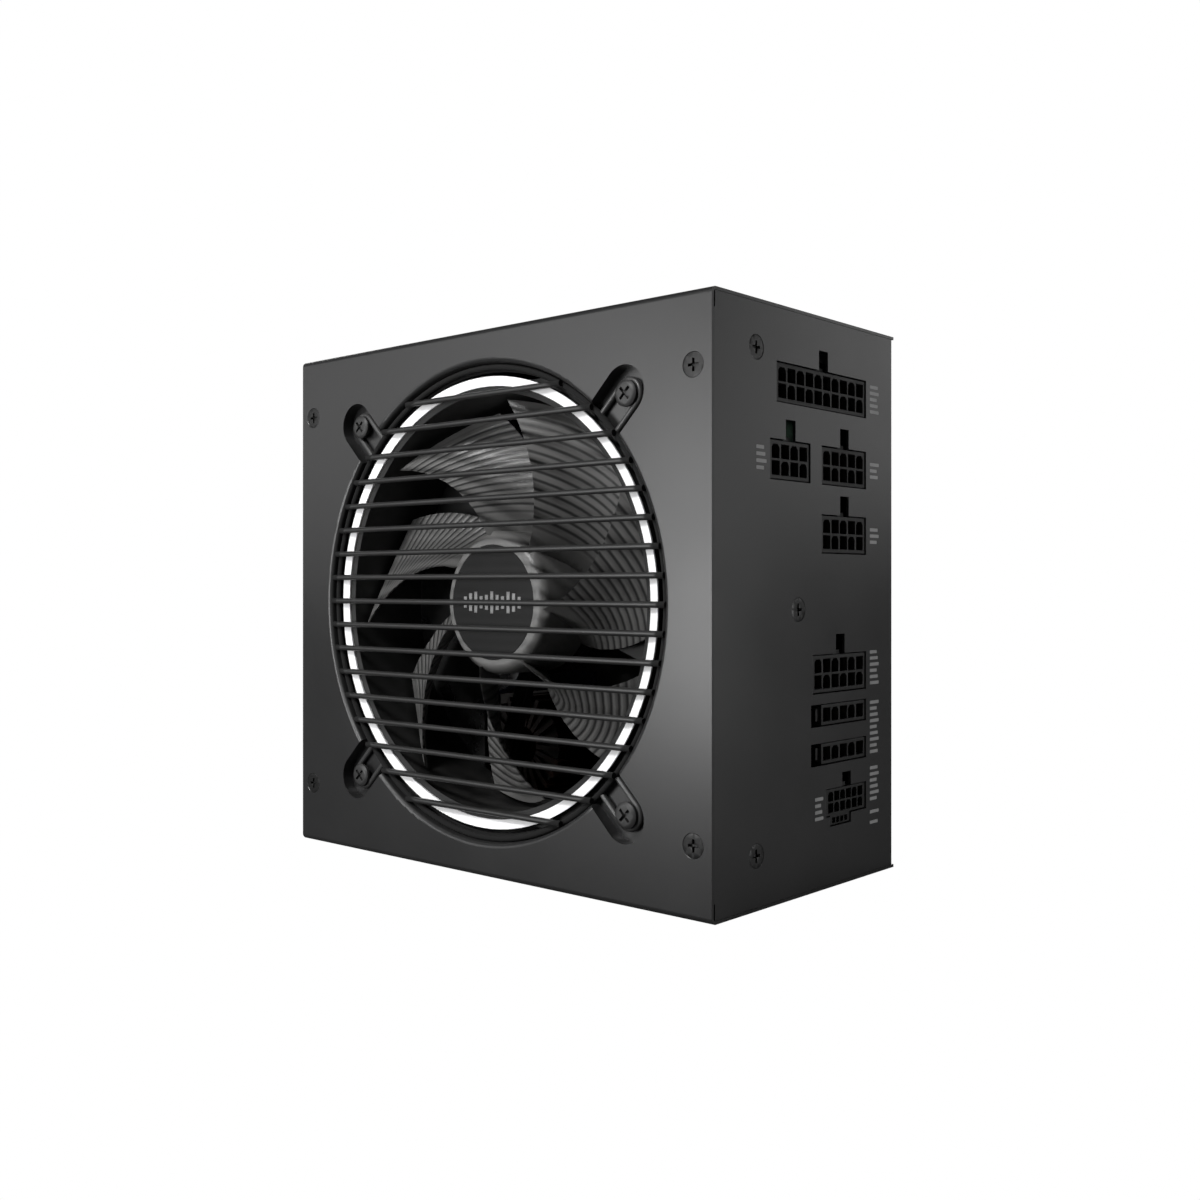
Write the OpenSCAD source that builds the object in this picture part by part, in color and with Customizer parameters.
// Modular desktop power supply with a 120 mm fan, standing on its side.
// The fan face looks towards -Y, the socket panel towards +X and the mains panel towards -X.
// The origin is the centre of the face that it stands on, and +Z is up.

/* [Housing] */
// Depth of the housing, from the mains panel to the socket panel
case_length = 160; // [160:1:180]
// Thickness of the housing, from the fan face to the label face
case_thickness = 86; // [86:1:92]
// Height of the housing as it stands
case_height = 150; // [150:1:156]
// Thickness of the steel sheet
sheet = 0.8; // [0.7:0.1:0.9]
// Outer radius of the sheet's bends
bend_radius = 1.6; // [1.2:0.1:2]

/* [Fan opening] */
// Radius of the pressed recess round the fan
recess_radius = 65.7; // [65.2:0.1:66.5]
// Depth of the recess floor below the fan face
recess_depth = 3.6; // [3.4:0.1:4]
// Half width of the four ears that hold the fan screws
ear_radius = 6.5; // [5.6:0.1:6.8]
// Number of horizontal grille bars
bar_count = 17; // [9:2:17]
// Distance between grille bars
bar_pitch = 7.15; // [6.5:0.05:7.2]
// Diameter of the grille wire
wire = 1.6; // [1.2:0.1:1.8]

/* [Fan] */
// Side of the square fan frame
fan_size = 120; // [118:1:120]
// Thickness of the fan frame
fan_thickness = 25; // [24:1:26]
// Distance between fan screws
fan_screw_spacing = 105; // [104:0.5:105]
// Number of fan blades
blade_count = 7; // [5:1:9]
// Radius of the blade tips
blade_radius = 56.2; // [54:0.1:56.8]
// Radius of the hub
hub_radius = 20; // [19:0.5:21]

/* [Sockets] */
// Distance between the pins of the large sockets
pin_pitch = 4.2; // [4:0.1:4.3]
// Side of one socket cell
cell = 3.4; // [3:0.1:3.5]
// Width and height of the notch for a plug's latch
latch_notch = [4.4, 5.4];

/* [Vents] */
// Distance across the flats of a vent hole
vent_hole = 6; // [5:0.5:6]
// Width of the metal left between vent holes
vent_web = 1; // [0.8:0.1:1.5]

/* [Hidden] */
$fn = 64;
half_length = case_length / 2;
half_thickness = case_thickness / 2;
front_y = -half_thickness;
back_y = half_thickness;
panel_x = half_length;
mains_x = -half_length;
fan_z = case_height / 2;
tray_gap = 0.1;
leg_gap = 0.5; // between the tray's legs and the fan-side cover
tray_low = sheet + tray_gap;
tray_tall = case_height - 2 * tray_low;
ear_reach = fan_screw_spacing / sqrt(2);
ear_shift = 0.6; // how far the ear's round end lies outside its screw
throat_radius = 57.7;
fan_hole_r = 2.15;
guide_width = 32;
floor_hole_radius = 63.4;
trim_outer = [62.1, 2.1]; // radius and depth of the trim ring's outer edge
trim_inner = [59.5, 2.5];
trim_thick = 0.5;
lip_depth = trim_thick + 0.05; // from the trim ring's front face to the fan frame behind it
fan_front = recess_depth + sheet; // depth of the fan frame's front below the fan face
hub_front = 5.7; // depth of the hub's front below the fan face
disc_radius = 16;
wire_ring_radius = recess_radius - 1.1;
bar_depth = wire / 2 + 0.1;
ring_depth = bar_depth + wire - 0.1;
loop_depth = recess_depth - wire / 2;
loop_radius = 3.5;
fastener_r = 1.5;
head_r = 3;
head_depth = 1.6;
thread_r = 1.75; // wall radius of the case-mounting threads
collar_r = 2.6;
collar_depth = 2.4;
cover_screw_z = 57; // above and below the fan's centre
cover_screw_x = half_length - 5.5;
flange_width = 12;
board_top = back_y - 9; // component side of the main board
board_thick = 1.6;
board_low_x = mains_x + 10;
board_high_x = panel_x - 16;
board_low_z = 8;
board_high_z = case_height - 8;
link_x = panel_x - 15.2; // back of the socket board
socket_front = panel_x - 0.3;
socket_back = link_x + board_thick;
socket_length = socket_front - socket_back;
socket_right = 27.5; // side that all sockets line up on
cell_depth = 9;
small_pitch = 3;

// Case-mounting threads on the mains panel: [y, z]
mount_holes = [[back_y - 6, 6], [back_y - 6, 144], [front_y + 16, 6], [front_y + 6, 120]];
// Screws that hold the socket board: [y, z]
panel_screws_at = [[-24.7, case_height - 12], [-24.7, 13.5], [-6, 73.5]];
// Two-row sockets: [right side y, centre z, columns]
tall_sockets = [
    [socket_right, 130.7, 10],
    [-0.6, 111.2, 4],
    [socket_right, 111.2, 5],
    [socket_right, 93.2, 5],
    [socket_right, 56.5, 6]
];
// Single-row sockets with the latch at their side: centre z
flat_sockets = [45.7, 35.5];
flat_columns = 5;
graphics_z = 22.3;
graphics_columns = 6;
mains_inlet = [16, 116]; // y, z of the inlet's centre
inlet_screw_z = 20; // above and below the inlet's centre
mains_switch = [-12, 116]; // y, z of the rocker's centre
rocker_pivot = 1.4; // depth of the rocker's axle behind the mains panel
rocker_tilt = 10;
rocker_half = 7.5;
rocker_face = 3.4;

// ---- helpers ----

// Local Z runs into the housing along the fan's axis, from a depth below the fan face.
module at_fan(depth = 0) {
    translate([0, front_y + depth, fan_z]) rotate([-90, 0, 0]) children();
}

// Local Z points out of the socket panel.
module out_of_panel(x, y, z) {
    translate([x, y, z]) rotate([0, 90, 0]) children();
}

// Local Z points from the main board towards the fan.
module on_board(x, z, lift = 0) {
    translate([x, board_top - lift, z]) rotate([90, 0, 0]) children();
}

module tube(outer, inner, height) {
    difference() {
        cylinder(r = outer, h = height);
        translate([0, 0, -1]) cylinder(r = inner, h = height + 2);
    }
}

// A rectangle whose two corners at x = 0 are rounded.
module bent_edge(width, height, r) {
    translate([r, 0]) square([width - r, height]);
    translate([0, r]) square([width, height - 2 * r]);
    translate([r, r]) circle(r);
    translate([r, height - r]) circle(r);
}

module rounded_square(size, r) {
    translate([-size[0] / 2 + r, -size[1] / 2]) square([size[0] - 2 * r, size[1]]);
    translate([-size[0] / 2, -size[1] / 2 + r]) square([size[0], size[1] - 2 * r]);
    for (x = [-1, 1], y = [-1, 1])
        translate([x * (size[0] / 2 - r), y * (size[1] / 2 - r)]) circle(r);
}

// Profile of a sheet bent into a U: the web lies at x = 0 and two legs run to x = width.
module bent_sheet(width, height) {
    difference() {
        bent_edge(width, height, bend_radius);
        translate([sheet, sheet]) bent_edge(width, height - 2 * sheet, bend_radius - sheet);
    }
}

// Outline of the pressed recess and its four ears.
module recess_outline(grow) {
    circle(recess_radius + grow);
    for (a = [45:90:315]) rotate(a) {
        translate([0, -ear_radius - grow]) square([ear_reach + ear_shift, 2 * (ear_radius + grow)]);
        translate([ear_reach + ear_shift, 0]) circle(ear_radius + grow);
    }
}

// Countersunk screw whose head's top is at z = 0 and whose shank runs to -z, with a cross recess.
module countersunk_screw(length) {
    difference() {
        union() {
            translate([0, 0, -head_depth]) cylinder(r1 = fastener_r, r2 = head_r, h = head_depth);
            translate([0, 0, -length]) cylinder(r = fastener_r, h = length - 0.2);
        }
        for (a = [0, 90]) rotate(a) translate([-1.6, -0.35, -1]) cube([3.2, 0.7, 2]);
    }
}

// Pan head screw whose head stands on z = 0.
module pan_screw(r, head, height, length) {
    difference() {
        union() {
            cylinder(r = head, h = height * 0.6);
            translate([0, 0, height * 0.6]) cylinder(r1 = head, r2 = head * 0.75, h = height * 0.4);
            translate([0, 0, -length]) cylinder(r = r, h = length + 0.1);
        }
        for (a = [0, 90]) rotate(a) translate([-head * 0.6, -0.4, height - 1]) cube([head * 1.2, 0.8, 2]);
    }
}

module countersink(clear = 0.15) {
    translate([0, 0, -head_depth])
        cylinder(r1 = fastener_r + clear, r2 = head_r + clear, h = head_depth + 0.001);
    translate([0, 0, -8]) cylinder(r = fastener_r + 0.05, h = 9);
}

module at_cover_screws() {
    for (x = [-1, 1], z = [-1, 1])
        translate([x * cover_screw_x, front_y, fan_z + z * cover_screw_z]) rotate([90, 0, 0]) children();
}

module at_fan_screws(depth) {
    for (a = [45:90:315])
        at_fan(depth) rotate(a) translate([ear_reach, 0, 0]) rotate([180, 0, 0]) children();
}

// ---- housing ----

module fan_cover() color("#3b3b3d") difference() {
    union() {
        translate([mains_x, 0, 0]) rotate([90, 0, 90]) linear_extrude(case_length)
            translate([front_y, 0]) bent_sheet(case_thickness, case_height);
        at_fan() linear_extrude(recess_depth + sheet) recess_outline(sheet);
    }
    at_fan(-1) linear_extrude(recess_depth + 1) recess_outline(0);
    at_fan() cylinder(r = floor_hole_radius, h = 20);
    at_fan() rim_rounding();
    at_cover_screws() countersink();
    at_fan_screws(recess_depth) translate([0, 0, -5]) cylinder(r = 2.2, h = 10);
}

// What is cut away to round the recess's rim.
module rim_rounding() {
    r = 1.4;
    rotate_extrude() difference() {
        translate([recess_radius - 0.5, -1]) square([r + 0.5, r + 1]);
        translate([recess_radius + r, r]) circle(r);
    }
}

// Local Z runs into the housing from the mains panel.
module at_mount_holes(depth) {
    for (p = mount_holes) translate([mains_x + depth, p[0], p[1]]) rotate([0, 90, 0]) children();
}

module base_tray() color("#38383a") difference() {
    union() {
        translate([0, 0, tray_low]) linear_extrude(tray_tall) translate([-half_length, back_y])
            rotate(-90) bent_sheet(case_thickness - sheet - leg_gap, case_length);
        for (side = [-1, 1])
            translate([side > 0 ? panel_x - flange_width : mains_x, front_y + sheet + 0.05, tray_low + 4])
                cube([flange_width, sheet, tray_tall - 8]);
        for (z = [tray_low, case_height - tray_low - sheet])
            translate([mains_x + 12, back_y - 10, z]) cube([case_length - 24, 10, sheet]);
        at_mount_holes(0) cylinder(r = collar_r, h = collar_depth);
    }
    at_mount_holes(-1) cylinder(r = thread_r, h = 6);
    at_cover_screws() countersink();
    for (p = panel_screws_at) out_of_panel(panel_x, p[0], p[1]) countersink();
    socket_cutouts();
    vent_holes();
    mains_cutouts();
}

// Window in the socket panel, wider than its socket all round by the fit.
module panel_window(y0, y1, z0, z1) {
    translate([panel_x - 3, y0 - fit, z0 - fit]) cube([6, y1 - y0 + 2 * fit, z1 - z0 + 2 * fit]);
}

// Notch above a socket for the latch of its plug.
module latch_window(y, z, rise) {
    translate([panel_x - 3, y - latch_notch[0] / 2, z]) cube([6, latch_notch[0], rise]);
}

function tall_width(columns) = (columns - 1) * pin_pitch + 5.4;
tall_height = 2 * pin_pitch + 1.4;
flat_height = 5.4;
dense_width = (graphics_columns - 1) * small_pitch + 5;
dense_height = 2 * small_pitch + 1;
dense_left = socket_right - dense_width;
dense_middle = socket_right - dense_width / 2;
sense_height = 2.6;
sense_width = 10;
fit = 0.25; // gap between a socket and its window

module socket_cutouts() {
    for (s = tall_sockets) {
        w = tall_width(s[2]);
        panel_window(s[0] - w, s[0], s[1] - tall_height / 2, s[1] + tall_height / 2);
        latch_window(s[0] - w / 2, s[1], tall_height / 2 + latch_notch[1]);
    }
    for (z = flat_sockets) {
        w = tall_width(flat_columns);
        panel_window(socket_right - w - latch_notch[1] + fit, socket_right,
            z - flat_height / 2, z + flat_height / 2);
    }
    panel_window(dense_left, socket_right, graphics_z - dense_height / 2, graphics_z + dense_height / 2);
    panel_window(dense_left + 2, dense_left + 2 + sense_width,
        graphics_z - dense_height / 2 - sense_height, graphics_z);
    latch_window(dense_middle, graphics_z, dense_height / 2 + 4);
}

// Honeycomb of vent holes in the mains panel.
module vent_holes() {
    step = vent_hole + vent_web;
    row_step = step * sqrt(3) / 2;
    for (row = [0:10], column = [0:9])
        translate([mains_x - 2, front_y + 13 + row * row_step, 18 + (column + (row % 2) / 2) * step])
            rotate([0, 90, 0]) rotate(30) cylinder(r = vent_hole / sqrt(3), h = 6, $fn = 6);
}

module mains_cutouts() {
    translate([mains_x - 2, mains_inlet[0] - 10, mains_inlet[1] - 13.9]) cube([6, 20, 27.8]);
    for (side = [-1, 1])
        translate([mains_x - 2, mains_inlet[0], mains_inlet[1] + side * inlet_screw_z])
            rotate([0, 90, 0]) cylinder(r = fastener_r + 0.05, h = 6);
    translate([mains_x - 2, mains_switch[0] - 6.6, mains_switch[1] - 9.8]) cube([6, 13.2, 19.6]);
}

module cover_screws() color("#222224") at_cover_screws() translate([0, 0, -0.1]) countersunk_screw(5);

module rating_label() color("#c9c9c9") translate([-50, back_y, 30]) cube([100, 0.15, 90]);

// ---- fan grille and trim ----

module grille_bars() color("#2c2c2e") for (i = [0:bar_count - 1]) {
    z = (i - (bar_count - 1) / 2) * bar_pitch;
    half = sqrt(pow(recess_radius - 0.1, 2) - pow(abs(z) + wire / 2, 2));
    translate([-half, front_y + bar_depth, fan_z + z])
        rotate([0, 90, 0]) cylinder(r = wire / 2, h = 2 * half);
}

module grille_ring() color("#2c2c2e") at_fan(ring_depth)
    rotate_extrude() translate([wire_ring_radius, 0]) circle(wire / 2);

// A wire bent round each fan screw, with both ends welded to the ring.
module grille_loops() color("#2c2c2e") at_fan(loop_depth) for (a = [45:90:315]) rotate(a) {
    for (side = [-1, 1])
        translate([wire_ring_radius + 0.2, side * loop_radius, 0]) rotate([0, 90, 0])
            cylinder(r = wire / 2, h = ear_reach - wire_ring_radius - 0.2);
    translate([ear_reach, 0, 0]) rotate(-90)
        rotate_extrude(angle = 180) translate([loop_radius, 0]) circle(wire / 2);
}

module fan_screws() color("#1d1d1f") at_fan_screws(recess_depth - wire - 0.05) pan_screw(2, 3.4, 1.3, 10);

// Depth of the trim ring's front face at a radius.
function trim_depth(r) =
    trim_outer[1] + (trim_outer[0] - r) * (trim_inner[1] - trim_outer[1]) / (trim_outer[0] - trim_inner[0]);

module inlet_trim_ring() color("#d8dadc") at_fan() rotate_extrude()
    polygon([trim_inner, trim_outer, trim_outer + [0, trim_thick], trim_inner + [0, trim_thick]]);

// ---- fan ----

module frame_plate() {
    difference() {
        rounded_square([fan_size, fan_size], 5);
        circle(throat_radius);
        for (x = [-0.5, 0.5], y = [-0.5, 0.5])
            translate([x * fan_screw_spacing, y * fan_screw_spacing]) circle(fan_hole_r);
    }
}

module fan_frame() color("#1b1b1d") at_fan(fan_front) {
    for (d = [0, fan_thickness - 4]) translate([0, 0, d]) linear_extrude(4) frame_plate();
    translate([0, 0, 4]) tube(throat_radius + 1.9, throat_radius, fan_thickness - 8);
    translate([0, 0, fan_thickness - 3]) linear_extrude(3) {
        circle(21);
        for (a = [20:90:290]) rotate(a) translate([0, -2.5]) square([throat_radius + 0.6, 5]);
    }
    translate([0, 0, fan_thickness - 13]) tube(5.5, 4, 10);
    translate([0, 0, -fan_front]) rotate_extrude()
        polygon([[throat_radius, trim_depth(throat_radius) + lip_depth], trim_outer + [0, lip_depth],
            [trim_outer[0], fan_front], [throat_radius, fan_front]]);
}

// Film behind the fan that keeps its air from taking the short way to the vents.
module air_guide() color("#1a1a1b") at_fan(fan_front + fan_thickness) difference() {
    translate([-fan_size / 2, -fan_size / 2, 0]) cube([guide_width, fan_size, 0.5]);
    for (y = [-0.5, 0.5])
        translate([-fan_screw_spacing / 2, y * fan_screw_spacing, -1]) cylinder(r = fan_hole_r, h = 3);
}

lead_hub = 46.5; // direction of a blade's leading edge at the hub, and how far the tip runs ahead of it
lead_sweep = 38;
chord_angle = 32;
lead_depth = 6.6;
trail_depth = 25.5;
radial_steps = 9;
chord_steps = 8;
function blade_share(r) = (r - hub_radius) / (blade_radius - hub_radius);
function blade_depth(r, s) =
    lead_depth + (trail_depth - lead_depth) * (1 - 0.28 * blade_share(r)) * (s + 0.16 * sin(180 * s));
function blade_half(r, s) = 0.35 + (1.1 - 0.5 * blade_share(r)) * sin(180 * pow(s, 0.7)) * 0.8;
function blade_point(r, s, side) =
    let (share = blade_share(r))
    let (angle = lead_hub + lead_sweep * pow(max(share, 0), 0.9) - s * (chord_angle + 2 * share))
    [r * cos(angle), -r * sin(angle), blade_depth(r, s) + side * blade_half(r, s)];

module blade() {
    inner = hub_radius - 1;
    rows = radial_steps + 1;
    columns = chord_steps + 1;
    points = [for (side = [-1, 1], i = [0:radial_steps], j = [0:chord_steps])
        blade_point(inner + (blade_radius - inner) * i / radial_steps, j / chord_steps, side)];
    function at(side, i, j) = side * rows * columns + i * columns + j;
    // Two triangles between four corners, turned over where flip is true.
    function quad(a, b, c, d, flip) = flip ? [[a, c, b], [a, d, c]] : [[a, b, c], [a, c, d]];
    skins = [for (side = [0, 1], i = [0:radial_steps - 1], j = [0:chord_steps - 1])
        each quad(at(side, i, j), at(side, i + 1, j), at(side, i + 1, j + 1), at(side, i, j + 1),
            side == 1)];
    edges = [for (i = [0:radial_steps - 1], end = [0, chord_steps])
        each quad(at(0, i, end), at(1, i, end), at(1, i + 1, end), at(0, i + 1, end), end > 0)];
    ends = [for (j = [0:chord_steps - 1], end = [0, radial_steps])
        each quad(at(0, end, j), at(0, end, j + 1), at(1, end, j + 1), at(1, end, j), end > 0)];
    faces = concat(skins, edges, ends);
    polyhedron(points, faces, convexity = 6);
}

module fan_impeller() color("#29292b") at_fan() {
    difference() {
        translate([0, 0, hub_front]) union() {
            cylinder(r1 = hub_radius - 2.6, r2 = hub_radius, h = 2.6);
            translate([0, 0, 2.6]) cylinder(r = hub_radius, h = 16.4);
        }
        translate([0, 0, hub_front + 2.6]) cylinder(r = hub_radius - 1.5, h = 20);
        translate([0, 0, hub_front - 1]) cylinder(r = disc_radius + 0.1, h = 1.3);
    }
    for (i = [0:blade_count - 1]) rotate(-i * 360 / blade_count) blade();
}

module hub_disc() color("#19191a") at_fan(hub_front) cylinder(r = disc_radius, h = 0.3);

module rotor_can() color("#8d8f92") at_fan(hub_front + 2.6) difference() {
    cylinder(r = hub_radius - 1.5, h = 14);
    translate([0, 0, 1]) cylinder(r = hub_radius - 2.5, h = 14);
}

module rotor_magnet() color("#3a3634") at_fan(hub_front + 4.6) tube(hub_radius - 2.5, hub_radius - 4.5, 11);

module fan_shaft() color("#c8cacc") at_fan(hub_front + 3.6) cylinder(r = 1.5, h = 16.9);

module fan_bearing() color("#b08d57") at_fan(fan_front + fan_thickness - 13) tube(4, 1.55, 9.9);

module stator() color("#a5562b") at_fan(hub_front + 5.5) {
    tube(8, 5.5, 9);
    for (a = [0:90:270]) rotate(a) {
        translate([7, -2, 1]) cube([6, 4, 7]);
        translate([8.2, -3.6, 0.5]) cube([3, 7.2, 8]);
        intersection() {
            tube(15, 12.6, 9);
            translate([8, -7, 0]) cube([8, 14, 9]);
        }
    }
}

module fan_driver_board() color("#1f4a2c") at_fan(fan_front + fan_thickness - 4.6) tube(17, 5.6, 1.2);

// ---- wires ----

// A round sleeve swept along a list of points.
module sweep(path, r, sides = 8) {
    last = len(path) - 1;
    function heading(i) = let (v = path[min(i + 1, last)] - path[max(i - 1, 0)]) v / norm(v);
    function across(i) =
        let (t = heading(i), c = cross(t, abs(t[2]) < 0.9 ? [0, 0, 1] : [1, 0, 0])) c / norm(c);
    points = [for (i = [0:last], k = [0:sides - 1])
        let (u = across(i), v = cross(heading(i), u), turn = 360 * k / sides)
        path[i] + r * (cos(turn) * u + sin(turn) * v)];
    faces = concat(
        [[for (k = [0:sides - 1]) k]],
        [[for (k = [sides - 1:-1:0]) last * sides + k]],
        [for (i = [0:last - 1], k = [0:sides - 1], half = [0, 1])
            let (a = i * sides + k, b = i * sides + (k + 1) % sides)
            half ? [a, b + sides, b] : [a, a + sides, b + sides]]
    );
    polyhedron(points, faces, convexity = 4);
}

// Points along a smooth curve through a short list of points.
function spline(p, steps) = [for (i = [0:len(p) - 2], k = [0:steps - 1])
    let (t = k / steps, a = p[max(i - 1, 0)], b = p[i], c = p[i + 1], d = p[min(i + 2, len(p) - 1)])
    0.5 * (2 * b + (c - a) * t + (2 * a - 5 * b + 4 * c - d) * t * t + (3 * b - a - 3 * c + d) * t * t * t),
    p[len(p) - 1]];

fan_back = front_y + fan_front + fan_thickness;
fan_lead_points = [[58, fan_back + 1.4, 118], [61, fan_back + 2, 124], [60, fan_back + 8, 131],
    [50, fan_back + 20, 136], [42, board_top - 14, 137], [40, board_top - 9.1, 137]];
module fan_lead() color("#151516") sweep(spline(fan_lead_points, 4), 1.2);

module fan_lead_plug() color("#e8e4d8") on_board(40, 137) {
    translate([-4, -3, 0]) cube([8, 6, 5]);
    translate([-3, -2.2, 5]) cube([6, 4.4, 4]);
}

live_points = [[-48.9, 14, 109], [-46, 17, 108.5], [-46, 24, 108], [-48, 31, 106], [-48, board_top, 105]];
neutral_points = [[-48.9, 14, 123], [-46, 17, 123.5], [-45, 24, 124.5], [-47, 31, 126],
    [-47, board_top, 126]];
switch_points = [[-60.9, -9, 121], [-57, -8, 125], [-54, 0, 132], [-53, 14, 137], [-54, 26, 138.5],
    [-54, board_top, 139]];
earth_points = [[-48.9, 20, 116], [-46, 24, 117], [-48, 31, 118], [-54, board_top, 118]];
module mains_wires() color("#3c2a1c") for (p = [live_points, neutral_points, switch_points, earth_points])
    sweep(spline(p, 3), 1.1);

// ---- sockets ----

// One cell of a socket: square, or with two corners cut off so that a plug fits only one way round.
module socket_cell(size, cut) {
    h = size / 2;
    polygon(cut ? [[-h, -h], [h, -h], [h, h / 2], [h / 2, h], [-h / 2, h], [-h, h / 2]]
        : [[-h, -h], [h, -h], [h, h], [-h, h]]);
}

// Local X of each cell runs to +Y and local Y to +Z.
module facing_out(x) {
    translate([x, 0, 0]) rotate([90, 0, 90]) children();
}

module socket_body(right, z, columns, rows, pitch, size, width, height) {
    facing_out(socket_back) difference() {
        linear_extrude(socket_length) translate([right - width, z - height / 2]) square([width, height]);
        for (c = [0:columns - 1], r = [0:rows - 1]) {
            y = right - width / 2 + (c - (columns - 1) / 2) * pitch;
            rise = (r - (rows - 1) / 2) * pitch;
            translate([y, z + rise, socket_length - cell_depth])
                linear_extrude(cell_depth + 1) socket_cell(size, (c + r) % 2 == 1);
        }
    }
}

module tall_socket(s) color("#161617") {
    w = tall_width(s[2]);
    socket_body(s[0], s[1], s[2], 2, pin_pitch, cell, w, tall_height);
    translate([socket_front - 6, s[0] - w / 2 - 1.7, s[1] + tall_height / 2 - 0.1]) cube([5, 3.4, 1.3]);
}

module flat_socket(z) color("#161617") {
    w = tall_width(flat_columns);
    socket_body(socket_right, z, flat_columns, 1, pin_pitch, cell, w, flat_height);
    translate([socket_front - 6, socket_right - w - 1.2, z - 1.7]) cube([5, 1.3, 3.4]);
}

module socket_graphics_dense() color("#161617") {
    socket_body(socket_right, graphics_z, graphics_columns, 2, small_pitch, 2.4, dense_width, dense_height);
    facing_out(socket_back) difference() {
        linear_extrude(socket_length)
            translate([dense_left + 2, graphics_z - dense_height / 2 - sense_height])
                square([sense_width, sense_height]);
        for (c = [0:3])
            translate([dense_left + 4 + c * 2, graphics_z - dense_height / 2 - sense_height / 2 - 0.1,
                socket_length - 6]) linear_extrude(8) square([1.4, 1.4], center = true);
    }
    translate([socket_front - 6, dense_middle - 1.5, graphics_z + dense_height / 2 - 0.1])
        cube([5, 3, 1.2]);
}

module pin_grid(right, z, columns, rows, pitch, width, side) {
    for (c = [0:columns - 1], r = [0:rows - 1])
        translate([link_x - 1, right - width / 2 + (c - (columns - 1) / 2) * pitch - side / 2,
            z + (r - (rows - 1) / 2) * pitch - side / 2]) cube([socket_front - link_x - 1.5, side, side]);
}

module socket_pins() color("#c9b071") {
    for (s = tall_sockets) pin_grid(s[0], s[1], s[2], 2, pin_pitch, tall_width(s[2]), 1);
    for (z = flat_sockets)
        pin_grid(socket_right, z, flat_columns, 1, pin_pitch, tall_width(flat_columns), 1);
    pin_grid(socket_right, graphics_z, graphics_columns, 2, small_pitch, dense_width, 0.8);
}

module socket_board() color("#1d4a30") difference() {
    translate([link_x, -28, board_low_z])
        cube([board_thick, board_top - 0.2 + 28, board_high_z - board_low_z]);
    for (p = panel_screws_at)
        translate([link_x - 1, p[0], p[1]]) rotate([0, 90, 0]) cylinder(r = 1.6, h = 4);
}

module socket_board_posts() color("#b9bbbd") for (p = panel_screws_at)
    translate([socket_back, p[0], p[1]]) rotate([0, 90, 0]) difference() {
        cylinder(r = 3.2, h = panel_x - sheet - socket_back, $fn = 6);
        translate([0, 0, 1]) cylinder(r = fastener_r + 0.05, h = 20);
        translate([0, 0, panel_x - sheet - socket_back - 0.9]) cylinder(r1 = 1.6, r2 = 2.6, h = 1);
    }

module socket_board_screws() color("#222224") for (p = panel_screws_at)
    out_of_panel(panel_x - 0.1, p[0], p[1]) countersunk_screw(8);

// ---- mains side ----

inlet_flange_thick = 2.4;

module inlet_flange() {
    square([28.6, 22.6], center = true);
    for (side = [-1, 1]) translate([side * inlet_screw_z, 0]) circle(5.4);
    for (side = [-1, 1]) scale([side, 1])
        polygon([[0, -11.3], [13, -11.3], [inlet_screw_z, -5.4], [inlet_screw_z, 5.4], [13, 11.3],
            [0, 11.3]]);
}

// Local X runs to +Z and local Y to +Y, and local Z points out of the mains panel.
module at_inlet(depth = 0) {
    translate([mains_x + depth, mains_inlet[0], mains_inlet[1]]) rotate([0, -90, 0]) children();
}

module mains_inlet_shell() color("#141415") at_inlet() difference() {
    union() {
        linear_extrude(inlet_flange_thick) inlet_flange();
        translate([-13.6, -9.7, -22]) cube([27.2, 19.4, 23]);
    }
    translate([0, 0, -17]) linear_extrude(30)
        polygon([[-12.1, -8.4], [12.1, -8.4], [12.1, 4.6], [8.3, 8.4], [-8.3, 8.4], [-12.1, 4.6]]);
    for (side = [-1, 1]) translate([side * inlet_screw_z, 0, inlet_flange_thick]) countersink();
    for (p = inlet_pins) translate([p[0] - 1, p[1] - 2, -30]) cube([2, 4, 30]);
}

inlet_pins = [[-7, -1.5], [7, -1.5], [0, 2.5]];
module mains_inlet_blades() color("#c9cbcd") at_inlet() for (p = inlet_pins) {
    translate([p[0] - 1, p[1] - 2, -24]) cube([2, 4, 22]);
    translate([p[0] - 0.4, p[1] - 3.15, -31]) cube([0.8, 6.3, 7]);
}

module mains_inlet_screws() color("#222224") at_inlet() for (side = [-1, 1])
    translate([side * inlet_screw_z, 0, inlet_flange_thick - 0.1]) countersunk_screw(8);

module at_switch() {
    translate([mains_x, mains_switch[0], mains_switch[1]]) rotate([0, -90, 0]) children();
}

module switch_shell() color("#141415") at_switch() difference() {
    union() {
        linear_extrude(1.8) rounded_square([21, 15], 1.2);
        translate([-9.6, -6.4, -14]) cube([19.2, 12.8, 14]);
    }
    translate([-8.6, -5.4, -rocker_pivot - 4]) cube([17.2, 10.8, 20]);
    translate([0, -6.1, -rocker_pivot]) rotate([-90, 0, 0]) cylinder(r = 1.05, h = 12.2);
    for (x = [-5, 5]) translate([x - 0.4, -3.15, -15]) cube([0.8, 6.3, 8]);
}

// Rests with its lower half pressed in, and rocks by twice the tilt.
module switch_rocker() color("#0f0f10") at_switch() translate([0, 0, -rocker_pivot])
    rotate([0, -rocker_tilt, 0]) {
        rise = rocker_half * tan(rocker_tilt);
        rotate([90, 0, 0]) linear_extrude(10.2, center = true)
            polygon([[-rocker_half, -1.5], [0, -2.4], [rocker_half, -1.5],
                [rocker_half, rocker_face + rise], [0, rocker_face], [-rocker_half, rocker_face + rise]]);
        rotate([90, 0, 0]) cylinder(r = 1, h = 11.8, center = true);
    }

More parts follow.
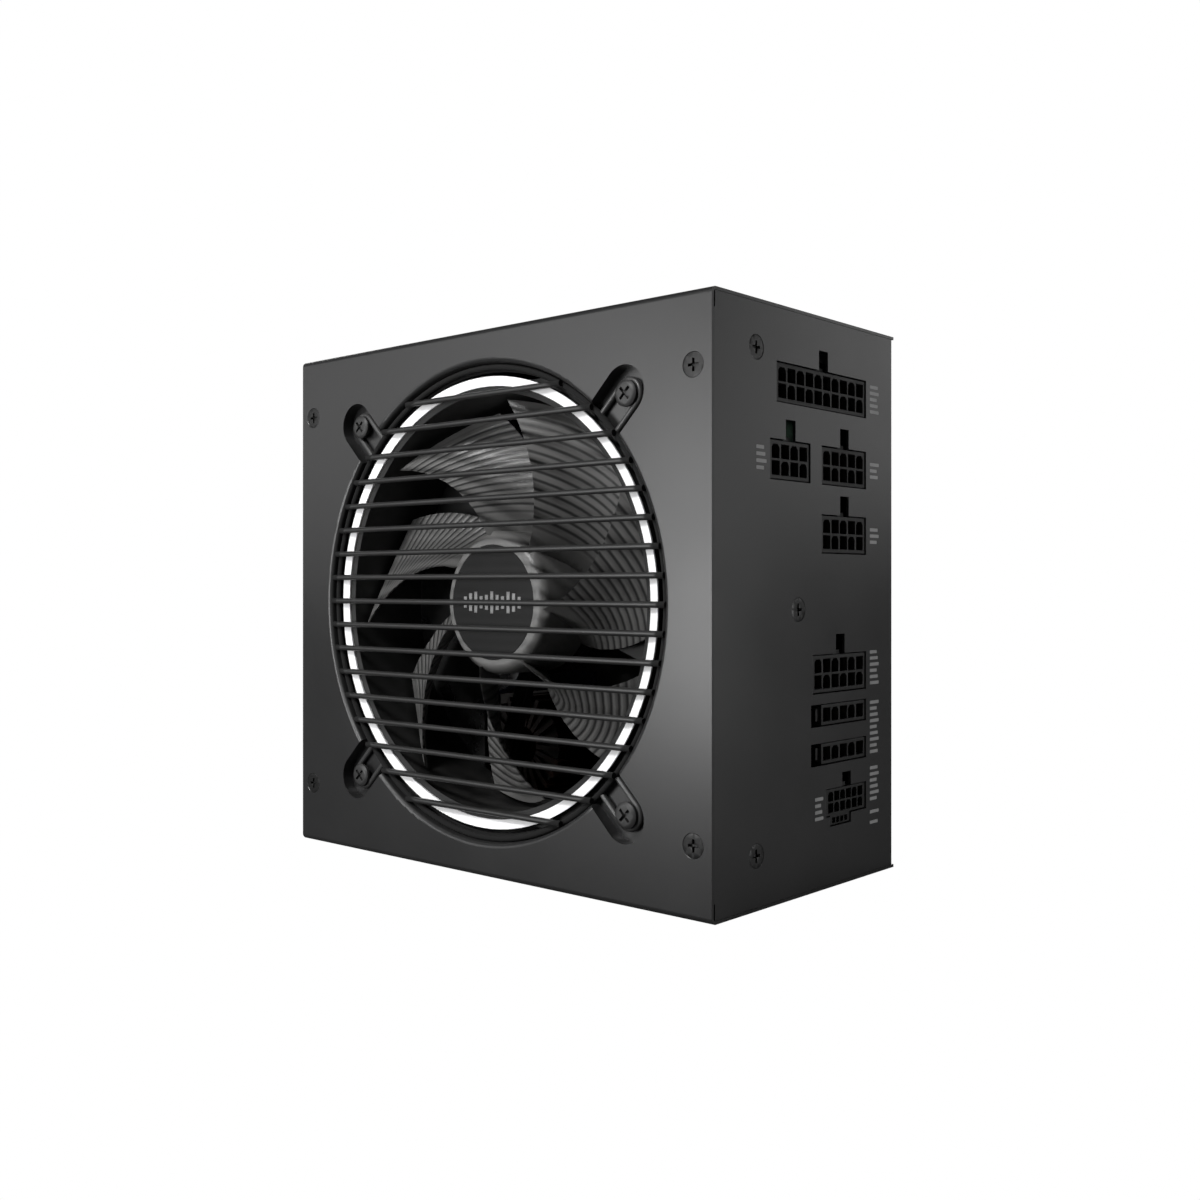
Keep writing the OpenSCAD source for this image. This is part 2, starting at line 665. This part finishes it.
module switch_terminals() color("#c9cbcd") at_switch() for (x = [-5, 5])
    translate([x - 0.4, -3.15, -19]) cube([0.8, 6.3, 12]);

// ---- boards ----

board_posts_at = [for (x = [board_low_x + 5, board_high_x - 5])
    for (z = [board_low_z + 5, board_high_z - 5]) [x, z]];

module main_board() color("#7a5a2e") difference() {
    translate([board_low_x, board_top, board_low_z])
        cube([board_high_x - board_low_x, board_thick, board_high_z - board_low_z]);
    for (p = board_posts_at)
        translate([p[0], board_top - 1, p[1]]) rotate([-90, 0, 0]) cylinder(r = 1.6, h = 4);
}

module board_posts() color("#c2a14d") for (p = board_posts_at)
    translate([p[0], board_top + board_thick, p[1]]) rotate([-90, 0, 0]) difference() {
        cylinder(r = 3, h = back_y - sheet - board_top - board_thick, $fn = 6);
        translate([0, 0, -1]) cylinder(r = 1.35, h = 6);
    }

module board_screws() color("#b9bbbd") for (p = board_posts_at)
    on_board(p[0], p[1]) pan_screw(1.3, 2.8, 1.8, 5);

module insulating_sheet() color("#2a2a2c") difference() {
    translate([board_low_x, back_y - sheet - 0.4, board_low_z])
        cube([board_high_x - board_low_x, 0.4, board_high_z - board_low_z]);
    for (p = board_posts_at)
        translate([p[0], back_y - 3, p[1]]) rotate([-90, 0, 0]) cylinder(r = 3.4, h = 6);
}

module finned_plate(length, thick, height, fins, fin_length, first, pitch) {
    cube([length, thick, height]);
    for (i = [0:fins - 1])
        translate([first + i * pitch, thick - 0.1, 4]) cube([1.4, fin_length, height - 4]);
}

module primary_heatsink() color("#a9acb0") on_board(-60, 88) mirror([0, 1, 0]) translate([0, -8, 0])
    finned_plate(56, 4, 40, 8, 8, 2, 7.2);

module secondary_heatsink() color("#a9acb0") on_board(34, 100) rotate(-90)
    finned_plate(54, 3, 38, 2, 3, 16, 20);

module transistor() {
    translate([-7.5, 0, 10]) cube([15, 4.6, 20]);
    for (x = [-5, 0, 5]) translate([x - 0.5, 2, 0]) cube([1, 0.6, 10]);
}

module power_transistors() color("#171718") {
    for (x = [-33, -15]) on_board(x, 84) rotate(180) transistor();
    for (z = [54, 72, 90]) on_board(34, z) rotate(90) transistor();
}

module bridge_rectifier() color("#1b1b1c") on_board(-52, 84) rotate(180) {
    translate([-10, 0, 8]) cube([20, 4.2, 22]);
    for (x = [-7.5:5:7.5]) translate([x - 0.6, 1.6, 0]) cube([1.2, 0.8, 8]);
}

module wound_core(core, coil, height) {
    difference() {
        translate([-core[0] / 2, -core[1] / 2, 3]) cube([core[0], core[1], height - 6]);
        translate([-core[0] / 2 + 7, -core[1], 8]) cube([core[0] - 14, 2 * core[1], height - 16]);
    }
    translate([-coil[0] / 2, -coil[1] / 2, 8]) cube([coil[0], coil[1], height - 16]);
    translate([-coil[0] / 2, -coil[1] / 2 + 1, 0]) cube([coil[0], coil[1] - 2, 3]);
}

module main_transformer() color("#c8a13a") on_board(9.5, 62) wound_core([36, 16], [22, 28], 34);

module standby_transformer() color("#c8a13a") on_board(10, 116) wound_core([20, 9], [6.5, 17], 20);

// Ring chokes: [x, z, outer radius, inner radius, height, turns, wire thickness]
chokes = [[-42, 27, 15, 8, 14, 22, 1.5], [46, 26, 11, 6, 11, 14, 1.6], [-30, 114, 10, 5.5, 12, 14, 1.2]];
winding_gap = 0.15;

module choke_cores() color("#b9a54a") for (c = chokes)
    on_board(c[0], c[1]) translate([0, 0, c[6] + winding_gap]) tube(c[2], c[3], c[4]);

module choke_windings() color("#b5652c") for (c = chokes, i = [0:c[5] - 1]) {
    wide = c[2] - c[3] + 2 * winding_gap;
    tall = c[4] + 2 * winding_gap;
    on_board(c[0], c[1]) rotate(i * 360 / c[5]) translate([(c[2] + c[3]) / 2, c[6] / 2, c[6] + tall / 2])
        rotate([90, 0, 0]) linear_extrude(c[6]) difference() {
            square([wide + 2 * c[6], tall + 2 * c[6]], center = true);
            square([wide, tall], center = true);
        }
}

module can(r, height) {
    cylinder(r = r - 0.6, h = 1);
    translate([0, 0, 1]) cylinder(r = r, h = height - 2);
    translate([0, 0, height - 1]) cylinder(r1 = r, r2 = r - 1, h = 1);
}

module bulk_capacitor() color("#20242c") on_board(-30, 61) can(15, 42);

module output_capacitors() color("#20242c") for (x = [45.6, 56.4], i = [0:4])
    on_board(x, 50 + 11 * i) can(5, 18);

module polymer_capacitors() color("#b9bbbd") for (y = [-8.5, 1, 10.5], z = [40.6, 66, 82, 104])
    translate([link_x, y, z]) rotate([0, -90, 0]) can(4, 9);

module film_capacitors() color("#c9b24a") {
    on_board(-12, 116) translate([-5, -13, 0]) cube([10, 26, 18]);
    on_board(-30, 135) translate([-13, -5, 0]) cube([26, 10, 18]);
}

module disc_capacitors() color("#3c6fb0") for (x = [2, 10, 18])
    on_board(x, 134, 6) rotate([0, 90, 0]) {
        cylinder(r = 4.4, h = 3);
        for (y = [-2.5, 2.5]) translate([0, y - 0.3, 1.2]) cube([6, 0.6, 0.6]);
    }

module fuse() color("#cfd3d6") on_board(-66, 131.5, 3) rotate([0, 90, 0]) {
    translate([0, 0, 1]) cylinder(r = 2.4, h = 18);
    cylinder(r = 2.7, h = 4);
    translate([0, 0, 16]) cylinder(r = 2.7, h = 4);
}

module bus_bars() color("#c47a44") for (z = [64, 77, 98]) {
    translate([link_x - 4.2, board_top - 14, z]) cube([4.2, 14, 1.2]);
    translate([link_x - 1.2, board_top - 14, z]) cube([1.2, 6, 8]);
}

module control_board() color("#1d4a30") on_board(26, 108) {
    translate([0, 0, 1]) cube([32, 1.2, 26]);
    translate([4, 1.2, 8]) cube([9, 1.4, 6]);
    translate([18, 1.2, 12]) cube([8, 1.4, 8]);
}

fan_cover();
base_tray();
cover_screws();
grille_bars();
grille_ring();
grille_loops();
fan_screws();
inlet_trim_ring();
fan_frame();
fan_impeller();
hub_disc();
rotor_can();
rotor_magnet();
fan_shaft();
fan_bearing();
stator();
fan_driver_board();
air_guide();
fan_lead();
fan_lead_plug();
socket_board();
socket_board_posts();
socket_board_screws();
tall_socket(tall_sockets[0]);  // socket_mainboard
tall_socket(tall_sockets[1]);  // socket_processor
tall_socket(tall_sockets[2]);  // socket_upper
tall_socket(tall_sockets[3]);  // socket_lower
tall_socket(tall_sockets[4]);  // socket_graphics_wide
flat_socket(flat_sockets[0]);  // socket_drives_upper
flat_socket(flat_sockets[1]);  // socket_drives_lower
socket_graphics_dense();
socket_pins();
mains_inlet_shell();
mains_inlet_blades();
mains_inlet_screws();
switch_shell();
switch_rocker();
switch_terminals();
main_board();
board_posts();
board_screws();
insulating_sheet();
primary_heatsink();
secondary_heatsink();
power_transistors();
bridge_rectifier();
main_transformer();
standby_transformer();
choke_cores();
choke_windings();
bulk_capacitor();
output_capacitors();
polymer_capacitors();
film_capacitors();
disc_capacitors();
fuse();
mains_wires();
bus_bars();
control_board();
rating_label();
